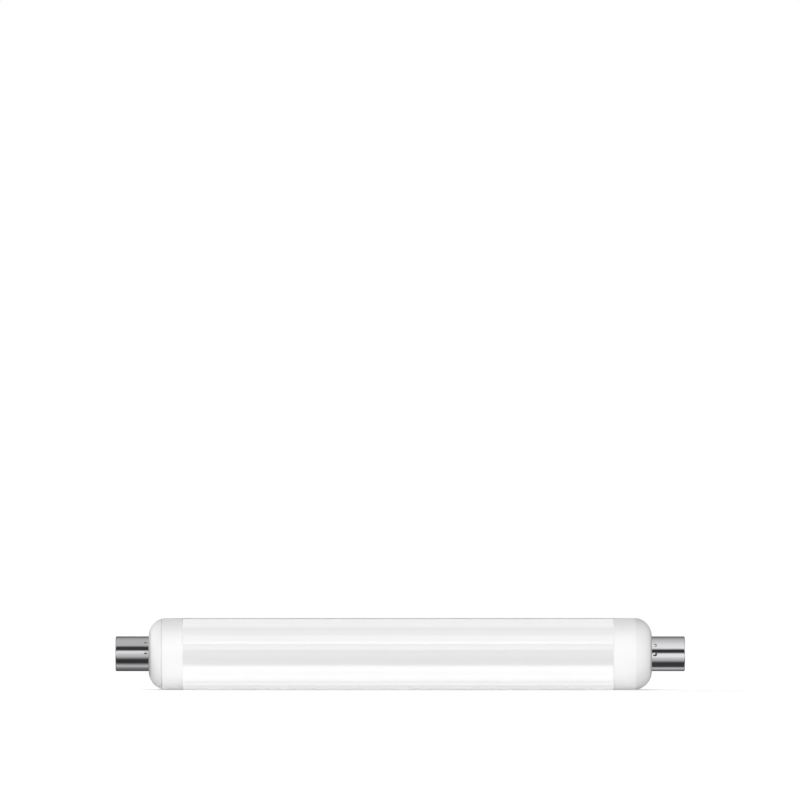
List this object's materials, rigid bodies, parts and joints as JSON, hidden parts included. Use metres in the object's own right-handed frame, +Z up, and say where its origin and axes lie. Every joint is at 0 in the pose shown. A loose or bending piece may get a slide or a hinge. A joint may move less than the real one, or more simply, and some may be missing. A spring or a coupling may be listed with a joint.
{
  "type": "double-ended tubular LED lamp",
  "caption": "Opal tubular lamp with domed white ends and a smooth nickel-plated 19 mm cap with a recessed contact at each end, held between two lampholders.",
  "frame": {"origin": "middle of the lamp's axis, half way between the rims of the two caps", "axes": "+X along the lamp's axis towards the end whose dome and band are one piece, +Z up, -Y the front"},
  "size_m": [0.31, 0.039, 0.039],
  "materials": {
    "opal": "glossy opal white polycarbonate",
    "white_plastic": "satin white moulded plastic",
    "nickel": "bright nickel plating on drawn metal",
    "insulator": "smooth black moulded plastic",
    "contact_metal": "bare pressed brass"
  },
  "bodies": {
    "root": {"opal_tube": "opal", "left_collar": "white_plastic", "left_dome_cover": "white_plastic", "right_end_cap": "white_plastic", "left_cap_shell": "nickel", "right_cap_shell": "nickel", "left_insulator": "insulator", "right_insulator": "insulator", "left_contact": "contact_metal", "right_contact": "contact_metal"}
  },
  "joints": []
}
